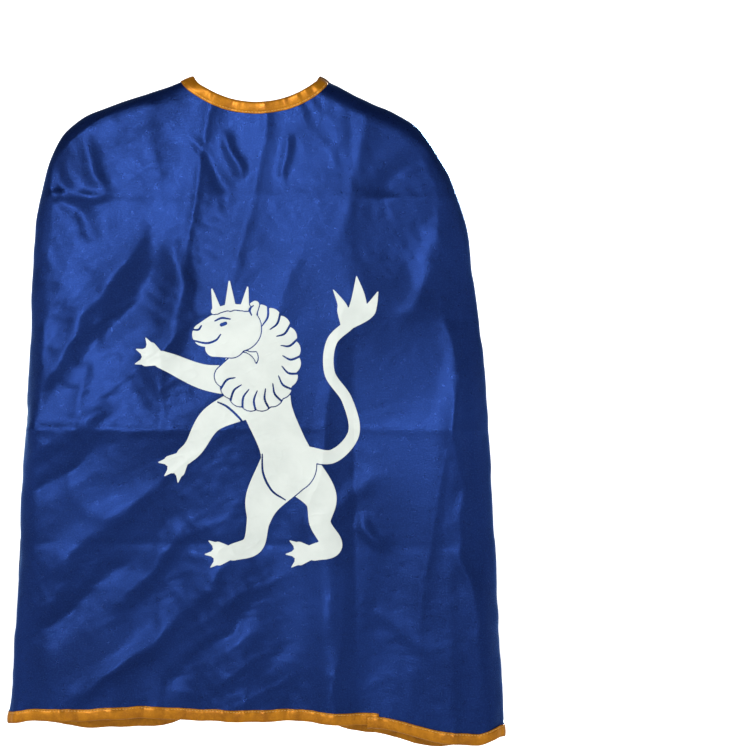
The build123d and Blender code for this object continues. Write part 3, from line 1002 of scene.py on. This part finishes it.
for mirror, hand in ((1, "right"), (-1, "left")):
    strip = tapeStrip(hand + "_front_tape", frontPath, True, 1, 320 + 20 * mirror, mirror=mirror)
    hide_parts(hand + "_front_binding")
    bendAtFold(strip)
    row = tapeStitches(hand + "_front_stitches", frontPath, True, 1, mirror=mirror)
    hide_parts(hand + "_front_stitching")
    bendAtFold(row)

# the back hem's tape is joined near the right: the second length starts over the end of the first
hemJoin = {"place": 121.0, "overlap": 6.0, "over": 0.8, "drop": 3.4}
leftHem = np.array([(-sideAtHem, cape["hem"]), (hemJoin["place"] + hemJoin["overlap"], cape["hem"])])
rightHem = np.array([(hemJoin["place"] - hemJoin["overlap"], cape["hem"] - hemJoin["drop"]),
                     (hemJoin["place"] + 40, cape["hem"] - hemJoin["drop"] * 0.4), (sideAtHem, cape["hem"])])
for name, path, seed, over in (("left", leftHem, 400, 0.0), ("right", rightHem, 420, hemJoin["over"])):
    strip = tapeStrip(name + "_hem_tape", path, True, -1, seed, over)
    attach(strip, "root")
    row = tapeStitches(name + "_hem_stitches", path, True, -1, over)
    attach(row, "root")
    if name == "left":
        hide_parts("hem_binding")
        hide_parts("hem_stitching")
print("edges bound and stitched")

# ---------------------------------------------------------------- the lion on the back

lionLook = {"step": 0.9, "drop": 358.0, "shiftX": 0.0, "above": 0.30, "film": 0.15}

# a plain heraldic lion in chains of beads (across, up, radius), in millimetres from its middle; in each group the
# chains lie over those of the groups below it, with a thin line left open between
lionCrown = [
    [(-44, 114, 3), (-27, 118.5, 3), (-9, 117.5, 3)],
    [(-41, 116, 4.5), (-46, 137, 0.8)],
    [(-27, 120, 5.5), (-28, 145, 0.8)],
    [(-12, 119, 4.5), (-9, 139, 0.8)],
]
lionHead = [
    [(-18, 96, 23), (-36, 94, 19), (-54, 90, 12.5)],
    [(-26, 80, 14), (-44, 76, 9)],
    [(-8, 112, 8), (-1, 121, 4)],
]
lionBody = [
    [(-2, 76, 30), (2, 50, 32), (12, 12, 25), (26, -22, 24), (34, -46, 28)],
    [(-16, 42, 17), (-54, 46, 13), (-88, 60, 10), (-98, 64, 9)],
    [(-10, 20, 17), (-46, 2, 13), (-64, -26, 10), (-74, -36, 9)],
    [(28, -52, 27), (8, -80, 19), (2, -104, 12), (-4, -130, 11), (-24, -138, 9)],
    [(52, -34, 8), (80, -36, 7), (101, -12, 6), (94, 22, 5.5), (76, 50, 5.5), (78, 82, 5.5), (97, 101, 5.5)],
    [(93, 98, 5.5), (104, 114, 9), (106, 128, 7), (104, 150, 0.6)],
    [(95, 100, 5.5), (114, 112, 7), (120, 120, 5), (126, 134, 0.6)],
    [(93, 100, 5.5), (90, 114, 6), (88, 122, 4), (80, 136, 0.6)],
]
lionFarLeg = [[(42, -50, 24), (66, -78, 17), (66, -106, 11), (78, -130, 11), (60, -138, 9)]]
# the mane is a ring of round lobes: its middle, its radii across and up, the lobes' radius, and the first and last
# lobe in degrees, from the front over the top
mane = {"middle": (0, 66), "across": 35, "up": 44, "lobe": 11.5, "first": 78, "last": 334, "count": 15}
# each paw: its middle, the way it points in degrees, and whether it is on the far leg
lionPaws = [((-103, 66), 158, False), ((-78, -40), 224, False), ((-30, -139), 184, False), ((54, -139), 184, True)]
toe = {"spread": 38, "reach": 12.0, "radius": 5.6, "claw": 6.0, "line": 0.55}
lionEye = [[(-36, 100, 1.7), (-32, 101.5, 1.7)]]
lionLines = [
    [(-43, 104, 0.5), (-36, 107, 0.9), (-27, 106, 0.5)],
    [(-66, 84, 0.6), (-52, 81, 0.9), (-42, 84, 0.9), (-37, 90, 0.5)],
    [(-66, 95, 0.6), (-60, 95, 0.9), (-57, 99, 0.6)],
    [(-5, 110, 0.5), (-7, 116, 0.8), (-3, 120, 0.4)],
    [(-40, 20, 0.5), (-30, 15, 0.9), (-18, 4, 0.9), (-12, -4, 0.5)],
    [(6, -34, 0.5), (7, -54, 0.9), (16, -72, 0.9), (30, -82, 0.5)],
]


def bent(beads, per=0.7):
    # a smooth curve through every bead (a Catmull-Rom spline), with its points about per millimetres apart
    p = np.array(beads, float)
    p = np.concatenate([[2 * p[0] - p[1]], p, [2 * p[-1] - p[-2]]])
    parts = []
    for k in range(1, len(p) - 2):
        count = max(2, int(np.hypot(*(p[k + 1] - p[k])[:2]) / per))
        t = np.linspace(0, 1, count, endpoint=False)[:, None]
        a, b, c, d = p[k - 1], p[k], p[k + 1], p[k + 2]
        parts.append(0.5 * (2 * b + (c - a) * t + (2 * a - 5 * b + 4 * c - d) * t**2 + (3 * b - a - 3 * c + d) * t**3))
    curve = np.concatenate(parts + [p[-2:-1]])
    curve[:, 2] = np.maximum(curve[:, 2], 0.25)
    return curve


def nearStrokes(x, z, strokes, reach=6.0):
    # the distance to the nearest disc of any stroke, below nought inside one
    distance = np.full(x.shape, reach)
    for stroke in strokes:
        curve = bent(stroke)
        low = curve[:, :2].min(axis=0) - curve[:, 2].max() - reach
        high = curve[:, :2].max(axis=0) + curve[:, 2].max() + reach
        close = (x > low[0]) & (x < high[0]) & (z > low[1]) & (z < high[1])
        px, pz = x[close], z[close]
        away = np.hypot(px[:, None] - curve[None, :, 0], pz[:, None] - curve[None, :, 1]) - curve[None, :, 2]
        distance[close] = np.minimum(distance[close], away.min(axis=1))
    return distance


def onMane(angle, share):
    # a place on the mane's oval, or on a smaller or larger one about the same middle
    a = math.radians(angle)
    return mane["middle"][0] - share * mane["across"] * math.cos(a), mane["middle"][1] + share * mane["up"] * math.sin(a)


def maneLobes():
    angles = np.linspace(mane["first"], mane["last"], mane["count"])
    return [[(*onMane(a, 0.5), 15), (*onMane(a, 1.0), mane["lobe"])] for a in angles]


def maneLines():
    # a curved line from the notch between each two lobes towards the face
    step = (mane["last"] - mane["first"]) / (mane["count"] - 1)
    angles = mane["first"] + step * (np.arange(mane["count"] - 1) + 0.5)
    return [[(*onMane(a, 1.3), 0.9), (*onMane(a + 4, 1.02), 0.9), (*onMane(a - 2, 0.78), 0.4)] for a in angles]


def toes(far):
    strokes = []
    for middle, heading, isFar in lionPaws:
        for turn in (-1, 0, 1) if isFar == far else ():
            a = math.radians(heading + turn * toe["spread"])
            way = np.array([math.cos(a), math.sin(a)])
            end = np.array(middle) + way * toe["reach"]
            tip = end + way * (toe["radius"] + toe["claw"])
            strokes += [[(*middle, 8.0), (*end, toe["radius"])], [(*(end + way * 3), 3.2), (*tip, 0.5)]]
    return strokes


def under(below, above, gap=1.1):
    # what lies under another part stops a line's width short of it
    return np.minimum(above, np.maximum(below, gap - above))


def lionDistance(x, z):
    leg = nearStrokes(x, z, lionFarLeg + toes(True))
    body = nearStrokes(x, z, lionBody + toes(False))
    ring = np.maximum(nearStrokes(x, z, maneLobes()), 0.25 - nearStrokes(x, z, maneLines()))
    face = np.maximum(nearStrokes(x, z, lionHead), 0.2 - nearStrokes(x, z, lionEye))
    whole = under(leg, body)
    for above in (ring, face, nearStrokes(x, z, lionCrown)):
        whole = under(whole, above)
    return np.maximum(whole, 0.25 - nearStrokes(x, z, lionLines))


def cutOut(distance, x, z):
    # keeps what lies inside the outline where distance is nought: each half cell of the grid is kept, left out or
    # clipped along the straight line between the two places where its sides cross the outline
    cells = gridFaces(*distance.shape)
    corners = np.concatenate([cells[:, [0, 1, 2]], cells[:, [0, 2, 3]]])
    d = distance.ravel()
    inside = d[corners] < 0
    count = inside.sum(axis=1)
    odd = np.where(count == 1, inside.argmax(axis=1), (~inside).argmax(axis=1))
    corners = np.take_along_axis(corners, (odd[:, None] + np.arange(3)) % 3, axis=1)
    one, two, whole = corners[count == 1], corners[count == 2], corners[count == 3]
    sides = np.concatenate([one[:, [0, 1]], one[:, [0, 2]], two[:, [0, 1]], two[:, [0, 2]]])
    sides, back = np.unique(np.sort(sides, axis=1), axis=0, return_inverse=True)
    t = d[sides[:, 0]] / (d[sides[:, 0]] - d[sides[:, 1]])
    px, pz = x.ravel(), z.ravel()
    newX = px[sides[:, 0]] * (1 - t) + px[sides[:, 1]] * t
    newZ = pz[sides[:, 0]] * (1 - t) + pz[sides[:, 1]] * t
    back = back.ravel() + d.size
    m, n = len(one), len(two)
    faces = np.concatenate([
        whole,
        np.stack([one[:, 0], back[:m], back[m : 2 * m]], axis=1),
        np.stack([back[2 * m : 2 * m + n], two[:, 1], two[:, 2]], axis=1),
        np.stack([back[2 * m : 2 * m + n], two[:, 2], back[2 * m + n :]], axis=1),
    ])
    used, faces = np.unique(faces, return_inverse=True)
    return np.concatenate([px, newX])[used], np.concatenate([pz, newZ])[used], faces.reshape(-1, 3)


def lionFilm():
    step = lionLook["step"]
    x, z = np.meshgrid(np.arange(-130, 131, step), np.arange(-161, 161, step), indexing="ij")
    px, pz, faces = cutOut(lionDistance(x, z), x, z)
    px, pz = px + lionLook["shiftX"], pz - lionLook["drop"]
    points = surface(px, pz, -1, lionLook["above"])
    piece = makeMesh("lion_film", points, faces, film, weld=True)
    normals = np.empty(len(piece.data.polygons) * 3)
    piece.data.polygons.foreach_get("normal", normals)
    if normals[1::3].mean() > 0:
        piece.data.flip_normals()
    placed = meshPoints(piece)
    setUv(piece, placed[:, 0], placed[:, 2])
    solidify(piece, lionLook["film"])
    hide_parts("lion_print")
    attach(piece, "root")


lionFilm()
print("lion pressed on")

# ---------------------------------------------------------------- chest tab

tabLook = {"round": 1.3, "corner": 4.0, "stitchInset": 2.0, "step": 1.3, "bow": 0.7, "gather": 0.28}


def tabShape(u, v, face):
    # a flat pillow: u runs along it and v across it, and its half thickness follows a quarter circle in
    # from the border, dips at the row of stitches, and swells with small gathers outside that row
    left, right = anchorLow.x * 1000, tabHigh.x * 1000
    low, high = tabLow.z * 1000, tabHigh.z * 1000
    half, rise = (right - left) / 2, (high - low) / 2
    fromEnd = np.clip(half * (1 - np.abs(u)), 0, tabLook["corner"])
    shorten = tabLook["corner"] - np.sqrt(np.clip(tabLook["corner"] ** 2 - (tabLook["corner"] - fromEnd) ** 2, 0, None))
    tall = rise - shorten
    x = (left + right) / 2 + u * half
    z = (low + high) / 2 + v * tall
    inside = np.minimum(half * (1 - np.abs(u)), tall * (1 - np.abs(v)))
    t = np.clip(inside / tabLook["round"], 0, 1)
    thick = (tabHigh.y - tabLow.y) * 500 * np.sqrt(1 - (1 - t) ** 2)
    groove = np.exp(-(((inside - tabLook["stitchInset"]) / 0.8) ** 2))
    edgeRun = np.where(half * (1 - np.abs(u)) < tall * (1 - np.abs(v)), z, x)
    gather = latticeNoise(edgeRun, edgeRun * 0, 4.4, 501) * np.exp(-np.abs(inside - tabLook["stitchInset"]) / 3.5)
    soft = 0.35 * latticeNoise(x, z, 13, 503) + 0.25 * latticeNoise(x, z * 2.2, 7, 504)
    thick = thick * (1 - 0.42 * groove) + t * (tabLook["gather"] * gather)
    seat = (anchorLow.y + anchorHigh.y) * 500
    free = (tabLow.y + tabHigh.y) * 500
    settle = smooth((x - anchorLow.x * 1000) / 30)
    middle = seat + (free - seat) * settle + tabLook["bow"] * np.sin(math.pi * (u + 1) / 2) + soft * t
    wave = 0.5 * latticeNoise(x, x * 0, 17, 505)
    return np.stack([x, middle + face * thick, z + wave], axis=-1)


def chestTab():
    length = (tabHigh.x - anchorLow.x) * 1000
    tall = (tabHigh.z - tabLow.z) * 1000
    columns, rows = int(length / tabLook["step"]), int(tall / tabLook["step"])
    u = np.sin(np.linspace(-1, 1, columns) * math.pi / 2) * 0.35 + np.linspace(-1, 1, columns) * 0.65
    v = np.linspace(-1, 1, rows)
    v = np.sin(v * math.pi / 2) * 0.35 + v * 0.65
    loopV = np.concatenate([v, v[::-1][1:-1]])
    loopFace = np.concatenate([np.ones(rows), -np.ones(rows - 2)])
    gu, gv = np.meshgrid(u, loopV, indexing="ij")
    points = tabShape(gu, gv, np.broadcast_to(loopFace, gu.shape))
    piece = makeMesh("chest_tab_strap", points.reshape(-1, 3), gridFaces(columns, len(loopV), closed=True), gold,
                     weld=True)
    placed = meshPoints(piece)
    setUv(piece, placed[:, 0], placed[:, 2])
    return piece


def tabRing():
    # the row of stitches round the tab: a rounded rectangle just inside its border, in the tab's own u and v
    left, right = anchorLow.x * 1000, tabHigh.x * 1000
    half, rise = (right - left) / 2, (tabHigh.z - tabLow.z) * 500
    a, b = half - tabLook["stitchInset"], rise - tabLook["stitchInset"]
    c = tabLook["corner"] - tabLook["stitchInset"] + 1.0
    corners = [
        arcPoints((a - c, b - c), c, 0, 90, 6),
        arcPoints((a - c, -b + c), c, 90, 180, 6),
        arcPoints((-a + c, -b + c), c, 180, 270, 6),
        arcPoints((-a + c, b - c), c, 270, 360, 6),
    ]
    ring = np.concatenate(corners + [corners[0][:1]])
    return ring / np.array([half, rise])


def tabStitches():
    left, right = anchorLow.x * 1000, tabHigh.x * 1000
    half, rise = (right - left) / 2, (tabHigh.z - tabLow.z) * 500
    crease = (anchorHigh.x * 1000 - (left + right) / 2 - 1.0) / half
    ring = tabRing()
    down = np.array([(crease, 0.86), (crease, -0.86)])
    rows = []
    for path in (ring, down):
        size = np.array([half, rise])
        dense = runEvenly(path * size, 800)
        along = pathLength(dense)
        centres = np.arange(1.5, along[-1] - 1.0, 2.9)
        for face in (1.0, -1.0):
            ends = []
            for reach in (-1.05, 1.05):
                x = np.interp(centres + reach, along, dense[:, 0]) / half
                z = np.interp(centres + reach, along, dense[:, 1]) / rise
                ends.append(tabShape(x, z, np.full(len(x), face)) + np.array([0, 0.12 * face, 0]))
            up = np.tile([0.0, face, 0.0], (len(centres), 1))
            rows.append((ends[0], ends[1], up))
    first, last, up = (np.concatenate([row[k] for row in rows]) for k in range(3))
    piece = stitches("chest_tab_stitches", first, last, up, 0.26, thread)
    return piece


def bendAtCrease(piece):
    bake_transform(piece)


strap = chestTab()
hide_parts("chest_tab", "tab_anchor")
bendAtCrease(strap)
strapRow = tabStitches()
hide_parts("chest_tab_stitching", "tab_anchor_stitching")
bendAtCrease(strapRow)


def pilePatch(name, node, facing, material):
    # a woven tape with a fringe of nylon standing on it: each hook is a short bent bar, each loop a low arch
    low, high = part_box(node)
    left, right, bottom, top = low.x * 1000, high.x * 1000, low.z * 1000, high.z * 1000
    base = (low.y if facing > 0 else high.y) * 1000
    x = np.linspace(left, right, 16)
    z = np.linspace(bottom, top, 24)
    gx, gz = np.meshgrid(x, z, indexing="ij")
    rim = np.minimum(np.minimum(gx - left, right - gx), np.minimum(gz - bottom, top - gz))
    gy = base + facing * (0.25 + 0.12 * latticeNoise(gx, gz, 3.0, 610)) * np.clip(rim / 0.8 + 0.25, 0, 1)
    sheet = makeMesh(name, np.stack([gx, gy, gz], axis=-1).reshape(-1, 3), gridFaces(16, 24, flip=facing > 0), material)
    solidify(sheet, 0.25)
    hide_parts(node)
    rng = np.random.default_rng(620)
    step = 1.15
    px, pz = np.meshgrid(np.arange(left + 1.2, right - 1.0, step), np.arange(bottom + 1.2, top - 1.0, step))
    px, pz = px.ravel() + rng.uniform(-0.2, 0.2, px.size), pz.ravel() + rng.uniform(-0.2, 0.2, px.size)
    lean = rng.uniform(-0.4, 0.4, px.size)
    foot = np.stack([px, np.full(px.size, base + facing * 0.2), pz], axis=-1)
    tip = foot + np.stack([lean, np.full(px.size, facing * 0.42), 0.45 + 0 * lean], axis=-1)
    up = np.tile([0.6, 0.0, 0.8], (px.size, 1))
    pile = stitches(name + "_pile", foot, tip, up, 0.11, material)
    return sheet, pile


for name, node, facing, material, slot, body in (
    ("hook_tape", "hook_patch", -1, hookPile, "hook_cloth", "tab"),
    ("loop_tape", "loop_patch", 1, loopPile, "loop_cloth", "right_front"),
):
    for piece in pilePatch(name, node, facing, material):
        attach(piece, body)
print("tab and patches made")

# ---------------------------------------------------------------- labels inside the neck

labels = {"tuck": 0.0004, "curl": 7.5, "clear": 1.3, "apart": 0.8}


def neckLabel(name, node, clear, curlCorner):
    # a small woven rectangle hanging off the inside of the back, waving a little, with one corner curled forward
    low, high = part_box(node)
    x = np.linspace(low.x, high.x, 34) * 1000
    z = np.linspace(high.z + labels["tuck"], low.z, 34) * 1000
    gx, gz = np.meshgrid(x, z, indexing="ij")
    drop = (z[0] - gz) / (z[0] - z[-1])
    across = (gx - x[0]) / (x[-1] - x[0])
    wave = 0.5 * drop * latticeNoise(gx, gz * 0.4, 16, 700 + len(name))
    corner = np.clip(drop + (across if curlCorner > 0 else 1 - across) - 1.25, 0, None) / 0.75
    curl = labels["curl"] * corner**2
    depth = -(cape["cloth"] + clear + wave + drop * 1.2 + curl)
    points = surface(gx, gz, -1, depth)
    points[..., 2] += curl * 0.35
    piece = makeMesh(name, points.reshape(-1, 3), gridFaces(34, 34), labelCloth)
    setUv(piece, gx, gz)
    solidify(piece, 0.28, 0.0)
    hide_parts(node)
    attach(piece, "labels")
    return piece


neckLabel("long_label", "care_label", labels["clear"], 1)
neckLabel("short_label", "size_label", labels["clear"] + labels["apart"], -1)
print("labels hung")

# ---------------------------------------------------------------- seam allowances inside the shoulders and sides


def seamAllowance(hand, mirror):
    # both cut edges of the seam stand inside it together, waving a little, oversewn along their free edge
    node = hand + "_side_seam"
    seam = np.concatenate([shoulderCurve(), sideCurve(cape["hem"] + 14.0)[1:]])
    seam = runEvenly(seam, 330)
    seam = seam[pathLength(seam) > 16.0]
    along = pathLength(seam)
    _, across = pathFrame(seam, False)
    w = np.linspace(0.0, 7.2, 8)
    edge = wrap(seam[:, 0], seam[:, 1], 1, lift(seam[:, 0], seam[:, 1], 1) - cape["cloth"] - 0.15)
    inwards = np.stack([across[:, 0], across[:, 0] * 0, across[:, 1]], axis=1)
    points = edge[:, None, :] + inwards[:, None, :] * w[None, :, None]
    sway = 1.6 * latticeNoise(along, along * 0, 24, 801) + 0.6 * latticeNoise(along, along * 0, 8, 802)
    points[..., 1] += sway[:, None] * (w / 7.2)[None, :] ** 1.3
    points[..., 0] *= mirror
    x, z = seam[:, None, 0] + 0 * w, seam[:, None, 1] + 0 * w
    points = hang(points, x * mirror, z, 1)
    piece = makeMesh(hand + "_seam_allowance", points.reshape(-1, 3), gridFaces(len(seam), 8), blue)
    setUv(piece, along[:, None] + 0 * w, 0 * along[:, None] + w)
    solidify(piece, 0.8, 0.0)
    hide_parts(node)
    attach(piece, "root")
    row = points[:, -1, :]
    inner = points[:, -4, :]
    upper = np.tile([0.0, 1.0, 0.0], (len(row), 1))
    first = np.concatenate([inner + [0, 0.55, 0], inner - [0, 0.55, 0]])
    last = np.concatenate([row + [0, 0.2, 0], row - [0, 0.2, 0]])
    oversewn = stitches(hand + "_overlock", first, last, np.concatenate([upper, -upper]), 0.22, navyThread)
    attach(oversewn, "root")


def navyOverlock():
    p = Paint("navy_thread", {"Roughness": 0.6, "Sheen Weight": 0.3})
    twist = p.wave(p.place(), 800.0)
    colour = p.mix(twist, (0.006, 0.016, 0.08, 1), (0.02, 0.06, 0.22, 1))
    return p.feed(Base_Color=colour)


navyThread = navyOverlock()
seamAllowance("right", 1)
seamAllowance("left", -1)
print("seams oversewn")
